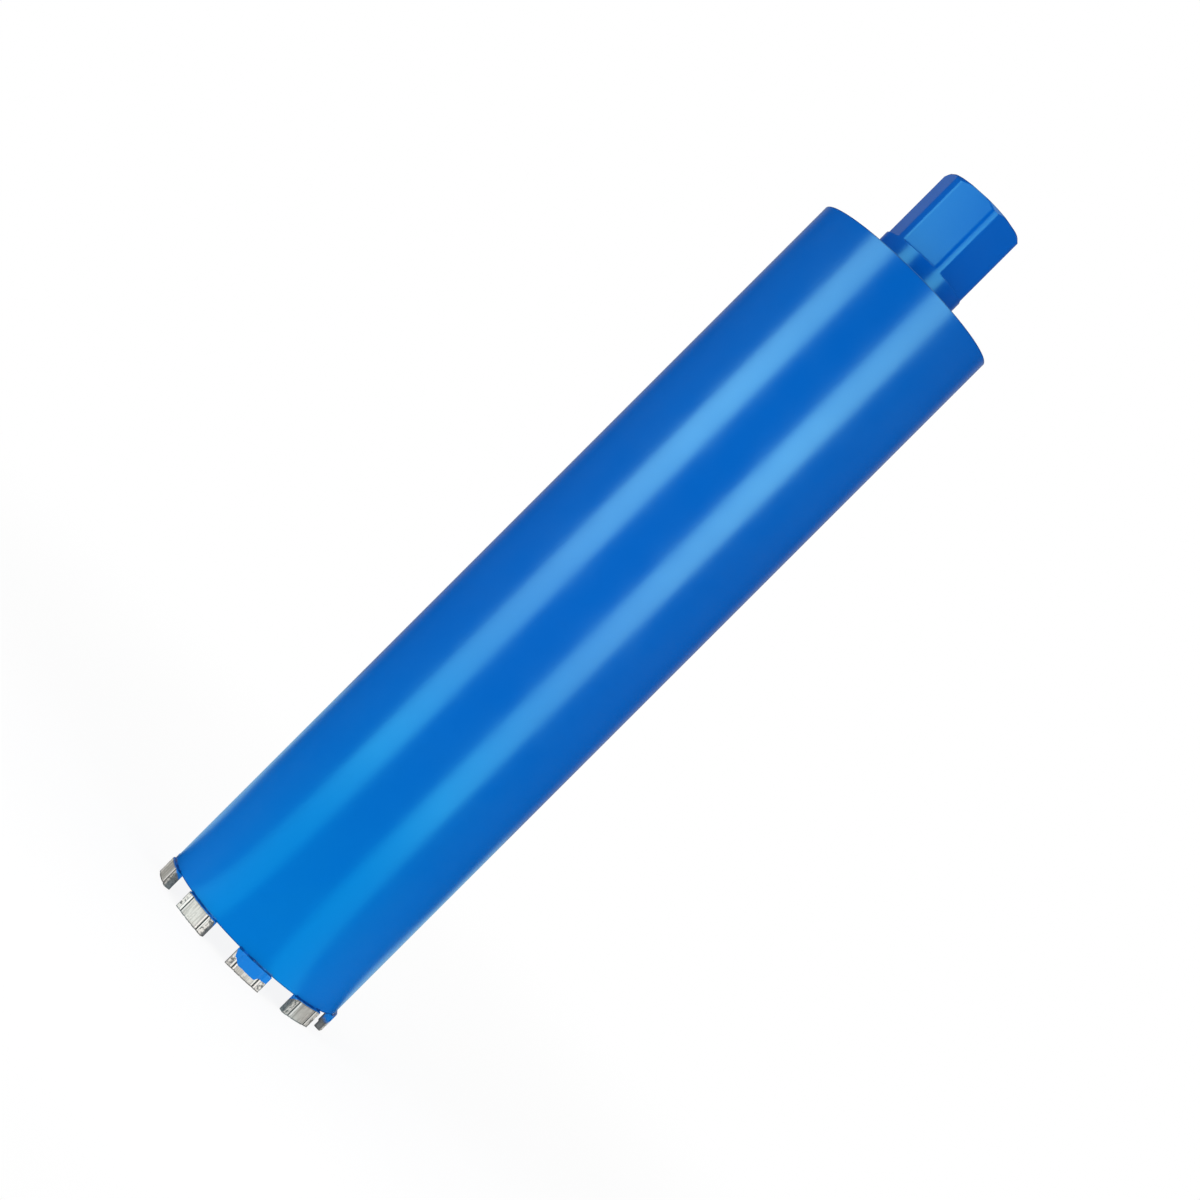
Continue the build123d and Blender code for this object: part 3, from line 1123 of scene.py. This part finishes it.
def braze_metal():
    """Filler metal, nearly all of it under thin paint that is darkened as a dark seam and as
    painted shade.
    """
    finish = Finish("painted_braze")
    colour, roughness, relief = paint_base(finish)
    bare = finish.patches(*BRAZE_SPOTS)
    silver = finish.mix(finish.noise(SILVER_SCALE, 3), *SILVER_COLOURS)
    # Darker patches of paint: a dark seam, and painted shade in the joint under the segment.
    shade = finish.mix(finish.patches(*BRAZE_SHADE_PATCHES), BRAZE_SHADE_PAINT, colour)
    grain = finish.noise(BRAZE_GRAIN_SCALE, 3)
    return finish.surface(
        Base_Color=finish.mix(bare, shade, silver),
        Roughness=finish.math("ADD", roughness, finish.math("MULTIPLY", bare, SILVER_ROUGHER)),
        Metallic=finish.math("MULTIPLY", bare, SILVER_METALLIC),
        Normal=finish.bump(grain, *BRAZE_GRAIN_RELIEF, relief),
        Specular_IOR_Level=0.5,
        Specular_Tint=PAINT_TINT,
    )


# Camera
CAMERA_TURN = radians(-0.11)
CAMERA_TILT = radians(0.434)
CAMERA_ROLL = radians(45.008)
CAMERA_DISTANCE = 1.34735
CAMERA_LENS = 82.32
AIM_HEIGHT = 0.2455
AIM_ASIDE = 0.00321


def make_camera():
    """Camera at the photo's viewing angle."""
    forward = Vector((
        sin(CAMERA_TURN) * cos(CAMERA_TILT),
        cos(CAMERA_TURN) * cos(CAMERA_TILT),
        -sin(CAMERA_TILT),
    ))
    right = Vector((cos(CAMERA_TURN), -sin(CAMERA_TURN), 0))
    up = right.cross(forward)
    image_right = right * cos(CAMERA_ROLL) + up * sin(CAMERA_ROLL)
    image_up = up * cos(CAMERA_ROLL) - right * sin(CAMERA_ROLL)
    data = bpy.data.cameras.new("camera")
    data.lens = CAMERA_LENS
    camera = add_object("camera", data)
    aim = Vector((0, 0, AIM_HEIGHT)) + right * AIM_ASIDE
    turned = Matrix((image_right, image_up, -forward)).transposed().to_4x4()
    camera.matrix_world = Matrix.Translation(aim - forward * CAMERA_DISTANCE) @ turned
    bpy.context.scene.camera = camera


# Studio: two upright softboxes in front, each a column of panels, one weak lamp above, and pale
# surroundings. Turns are in degrees from the camera's direction.
SOFTBOX_DISTANCE = 0.6
SOFTBOX_TURNS = {"left": (-44, -44, -44, -44, -44, -47.5), "right": (39, 39, 39, 39, 39, 39)}
PANEL_SIZE = (0.32, 0.12)
PANEL_RADIANCE = 4.4
PANEL_SHARES = (0.42, 0.6, 0.82, 1.0, 0.78, 0.66)
TOP_LAMP_PLACE = (0.0, 0.1, 1.6)
TOP_LAMP_SIZE = (1.0, 1.0)
TOP_LAMP_POWER = 4.0

# Levels of the surroundings, in front of the bit and behind it, and where they change
WHITE = (1.0, 1.0, 1.0, 1)
AMBIENT_FADE = (-1.0, 0.6)
AMBIENT_LEVELS = (0.1, 0.95)
MIRRORED_FADE = (0.75, 0.97)
MIRRORED_LEVELS = (0.0, 0.3)


def make_lamp(name, place, aim, size, power):
    """Rectangular soft lamp that faces a point."""
    data = bpy.data.lights.new(name, "AREA")
    data.shape = "RECTANGLE"
    data.size, data.size_y = size
    data.energy = power
    lamp = add_object(name, data)
    lamp.location = place
    lamp.rotation_euler = (Vector(aim) - Vector(place)).to_track_quat("-Z", "Y").to_euler()
    lamp.visible_camera = False


def make_lights():
    """The two softboxes and the lamp above."""
    width, height = PANEL_SIZE
    for side, turns in SOFTBOX_TURNS.items():
        for number, (degrees, share) in enumerate(zip(turns, PANEL_SHARES)):
            turn = radians(degrees)
            middle = height * (number + 0.5)
            place = (sin(turn) * SOFTBOX_DISTANCE, -cos(turn) * SOFTBOX_DISTANCE, middle)
            power = PANEL_RADIANCE * pi * width * height * share
            make_lamp(f"softbox_{side}_{number}", place, (0, 0, middle), PANEL_SIZE, power)
    make_lamp("lamp_above", TOP_LAMP_PLACE, (0, 0, 0), TOP_LAMP_SIZE, TOP_LAMP_POWER)


class StudioNodes(NodeTree):
    """The nodes of the world or the floor, which shine by kind of ray."""

    def __init__(self, owner):
        super().__init__(owner)
        self.tree.nodes.clear()
        self.rays = self.add("ShaderNodeLightPath").outputs
        glossy, through = self.rays["Is Glossy Ray"], self.rays["Is Transmission Ray"]
        self.mirrored_ray = self.math("MAXIMUM", glossy, through)

    def nearness(self, outward, degrees):
        """Cosine of the angle between a direction and a given turn."""
        turn = radians(degrees)
        inputs = {0: outward, 1: (sin(turn), -cos(turn), 0)}
        node = self.add("ShaderNodeVectorMath", inputs, operation="DOT_PRODUCT")
        return node.outputs["Value"]


def make_world():
    """White background, soft ambient light, and reflections that are pale only from behind."""
    world = bpy.data.worlds.new("studio")
    bpy.context.scene.world = world
    nodes = StudioNodes(world)
    direction = nodes.add("ShaderNodeTexCoord").outputs["Generated"]
    depth = nodes.add("ShaderNodeSeparateXYZ", {0: direction}).outputs[1]
    ambient = nodes.ramp(depth, AMBIENT_FADE, AMBIENT_LEVELS)
    mirrored = nodes.ramp(depth, MIRRORED_FADE, MIRRORED_LEVELS)
    level = nodes.between(nodes.mirrored_ray, ambient, mirrored)
    seen = nodes.between(nodes.rays["Is Camera Ray"], level, 1.0)
    background = nodes.add("ShaderNodeBackground", {"Color": WHITE, "Strength": seen})
    nodes.add("ShaderNodeOutputWorld", {"Surface": background.outputs[0]})


# Floor, which glows white, less so near the bit
FLOOR_RADIUS = 1.25
FLOOR_SIDES = 96
FLOOR_COLOUR = (0.85, 0.85, 0.85, 1)
FLOOR_FADE = (0.15, 0.9)
FLOOR_GLOW_SHARES = (0.9, 1.0)

# Painted reflections: the floor glows, for mirrored rays only, with what the bit mirrors in it:
# each softbox, with its edges as cosines, and the pale far side, which spreads near the bit. Both
# are a little blue.
MIRRORED_BOX_TURNS = (-44, 39)
MIRRORED_BOX_EDGES = (0.945, 0.982)
MIRRORED_BOX_FADE = (0.05, 0.6)
MIRRORED_BOX_LEVELS = (1.0, 1.6)
FAR_SIDE_EDGES = (0.76, 0.9)
FAR_SIDE_LEVELS = (0.0, 0.8)
FAR_SIDE_SPREAD_FADE = (0.6, 0.1)
FAR_SIDE_SPREAD = (0.0, 0.2)
MIRRORED_COLOUR = (0.6, 0.92, 1.0, 1)

# Light that the floor throws back on to the lowest part of the bit
BOUNCE_LEVEL = 2.7
BOUNCE_FADE = (0.08, 0.45)
BOUNCE_SHARES = (0.6, 0.0)


def floor_mirrored_level(nodes, place, distance):
    """Brightness of the floor's painted reflections as the bit mirrors it, by direction from the
    axis.
    """
    outward = nodes.add("ShaderNodeVectorMath", {0: place}, operation="NORMALIZE").outputs[0]
    box_level = nodes.ramp(distance, MIRRORED_BOX_FADE, MIRRORED_BOX_LEVELS)
    spread = nodes.ramp(distance, FAR_SIDE_SPREAD_FADE, FAR_SIDE_SPREAD)
    behind = nodes.math("ADD", nodes.nearness(outward, 180), spread)
    level = nodes.ramp(behind, FAR_SIDE_EDGES, FAR_SIDE_LEVELS)
    for turn in MIRRORED_BOX_TURNS:
        share = nodes.ramp(nodes.nearness(outward, turn), MIRRORED_BOX_EDGES, (0.0, 1.0))
        level = nodes.math("ADD", level, nodes.math("MULTIPLY", share, box_level))
    return level


def floor_material():
    """Pale floor that keeps the shadow near the object and fades into the white background."""
    material = bpy.data.materials.new("pale_floor")
    nodes = StudioNodes(material)
    place = nodes.add("ShaderNodeTexCoord").outputs["Object"]
    distance = nodes.add("ShaderNodeVectorMath", {0: place}, operation="LENGTH").outputs["Value"]
    bounce = nodes.ramp(distance, BOUNCE_FADE, BOUNCE_SHARES)
    bounce = nodes.math("MULTIPLY", nodes.rays["Is Diffuse Ray"], bounce)
    seen_share = nodes.ramp(distance, FLOOR_FADE, FLOOR_GLOW_SHARES)
    share = nodes.between(nodes.mirrored_ray, bounce, 1.0)
    share = nodes.between(nodes.rays["Is Camera Ray"], share, seen_share)
    mirrored_level = floor_mirrored_level(nodes, place, distance)
    strength = nodes.between(nodes.mirrored_ray, BOUNCE_LEVEL, mirrored_level)
    strength = nodes.between(nodes.rays["Is Camera Ray"], strength, 1.0)
    colour = nodes.mix(nodes.mirrored_ray, WHITE, MIRRORED_COLOUR)
    plain = nodes.add("ShaderNodeBsdfDiffuse", {"Color": FLOOR_COLOUR}).outputs[0]
    shining = nodes.add("ShaderNodeEmission", {"Color": colour, "Strength": strength}).outputs[0]
    surface = nodes.add("ShaderNodeMixShader", {0: share, 1: plain, 2: shining}).outputs[0]
    nodes.add("ShaderNodeOutputMaterial", {"Surface": surface})
    return material


def make_floor():
    """Round floor under the segments."""
    bm = bmesh.new()
    bm.faces.new(add_ring(bm, 0, lambda angle: FLOOR_RADIUS, FLOOR_SIDES))
    mesh = bpy.data.meshes.new("floor")
    bm.to_mesh(mesh)
    bm.free()
    mesh.materials.append(floor_material())
    floor = add_object("floor", mesh)


def make_bit():
    """Every piece of the core bit."""
    smooth_paint = tube_paint()
    bead_paint = weld_paint()
    make_tube(smooth_paint)
    make_closing_plate(smooth_paint)
    make_hub(hub_paint())
    hub_corner = [
        (HUB_RADIUS, PLATE_TOP),
        (HUB_RADIUS + HUB_WELD_LEG, PLATE_TOP),
        (HUB_RADIUS, PLATE_TOP + HUB_WELD_LEG),
    ]
    tube_corner = [
        (TUBE_BORE_RADIUS, PLATE_TOP - PLATE_WELD_LEG),
        (TUBE_BORE_RADIUS, TUBE_TOP - TUBE_RIM_CHAMFER),
        (TUBE_BORE_RADIUS - PLATE_WELD_LEG, PLATE_TOP),
    ]
    make_bead("hub_weld", hub_corner, HUB_WELD_RIPPLES, bead_paint)
    make_bead("plate_weld", tube_corner, PLATE_WELD_RIPPLES, bead_paint)
    metal = sintered_metal()
    filler = braze_metal()
    for number in range(1, SEGMENT_COUNT + 1):
        make_segment(number, metal)
        make_braze_joint(number, filler)


make_bit()
make_floor()
make_lights()
make_world()
make_camera()
bpy.context.scene.view_settings.view_transform = "Standard"
